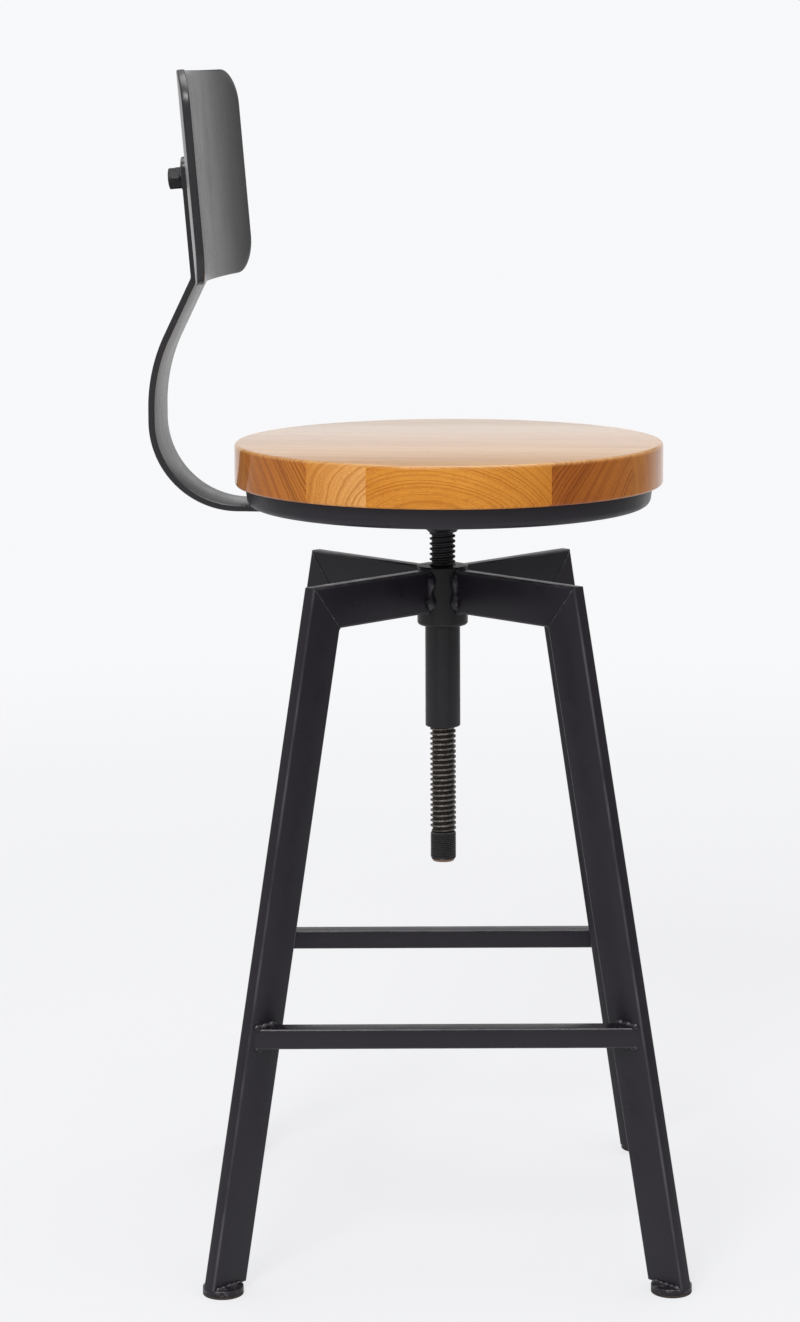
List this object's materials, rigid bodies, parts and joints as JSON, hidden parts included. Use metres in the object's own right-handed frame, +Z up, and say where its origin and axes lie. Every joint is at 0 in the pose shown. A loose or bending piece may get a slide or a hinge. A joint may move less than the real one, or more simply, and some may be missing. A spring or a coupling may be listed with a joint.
{
  "type": "bar stool",
  "caption": "Swivel bar stool with a round wooden seat on a lifting screw, a square steel frame with a footrest ring and a small curved backrest on a bent flat bar.",
  "frame": {"origin": "on the floor, on the axis of the lifting screw", "axes": "+Z up along the screw, +X the way the sitter faces, +Y the sitter's left; the seat is turned 7 degrees about Z at rest"},
  "size_m": [0.4047, 0.3592, 0.8951],
  "materials": {
    "black_coat": "satin black powder coat",
    "bare_steel": "machined, lightly oiled",
    "wood": "satin lacquer on solid softwood staves",
    "rubber": "matt"
  },
  "bodies": {
    "frame": {"hub_collar": "black_coat", "nut_sleeve": "black_coat", "arm_front_left": "black_coat", "arm_back_left": "black_coat", "arm_back_right": "black_coat", "arm_front_right": "black_coat", "leg_front_left": "black_coat", "leg_back_left": "black_coat", "leg_back_right": "black_coat", "leg_front_right": "black_coat", "footrest_bar_right": "black_coat", "footrest_bar_front": "black_coat", "footrest_bar_left": "black_coat", "footrest_bar_back": "black_coat", "foot_plate_front_left": "black_coat", "foot_plate_back_left": "black_coat", "foot_plate_back_right": "black_coat", "foot_plate_front_right": "black_coat", "foot_pad_front_left": "rubber", "foot_pad_back_left": "rubber", "foot_pad_back_right": "rubber", "foot_pad_front_right": "rubber"},
    "screw_boss": {"screw_boss": "black_coat"},
    "seat": {"lifting_screw": "bare_steel", "seat_pan": "black_coat", "seat_stave_1": "wood", "seat_stave_2": "wood", "seat_stave_3": "wood", "seat_stave_4": "wood", "seat_stave_5": "wood", "seat_stave_6": "wood", "seat_screw_front_left": "bare_steel", "seat_screw_back_left": "bare_steel", "seat_screw_back_right": "bare_steel", "seat_screw_front_right": "bare_steel", "back_strip": "black_coat", "backrest_plate": "black_coat", "backrest_stud_left": "bare_steel", "backrest_stud_right": "bare_steel", "backrest_washer_left": "black_coat", "backrest_washer_right": "black_coat", "backrest_nut_left": "black_coat", "backrest_nut_right": "black_coat"}
  },
  "joints": [
    {"name": "seat_rise", "type": "slide", "parent": "frame", "child": "screw_boss", "axis": [0, 0, 1], "range_m": [-0.025, 0.079]},
    {"name": "seat_turn", "type": "hinge", "parent": "screw_boss", "child": "seat", "pos_m": [0, 0, 0], "axis": [0, 0, 1], "range_deg": [-2250, 7110]}
  ],
  "couplings": [
    {"joint": "seat_rise", "follows": "seat_turn", "m_per_rad": 0.00063662}
  ]
}
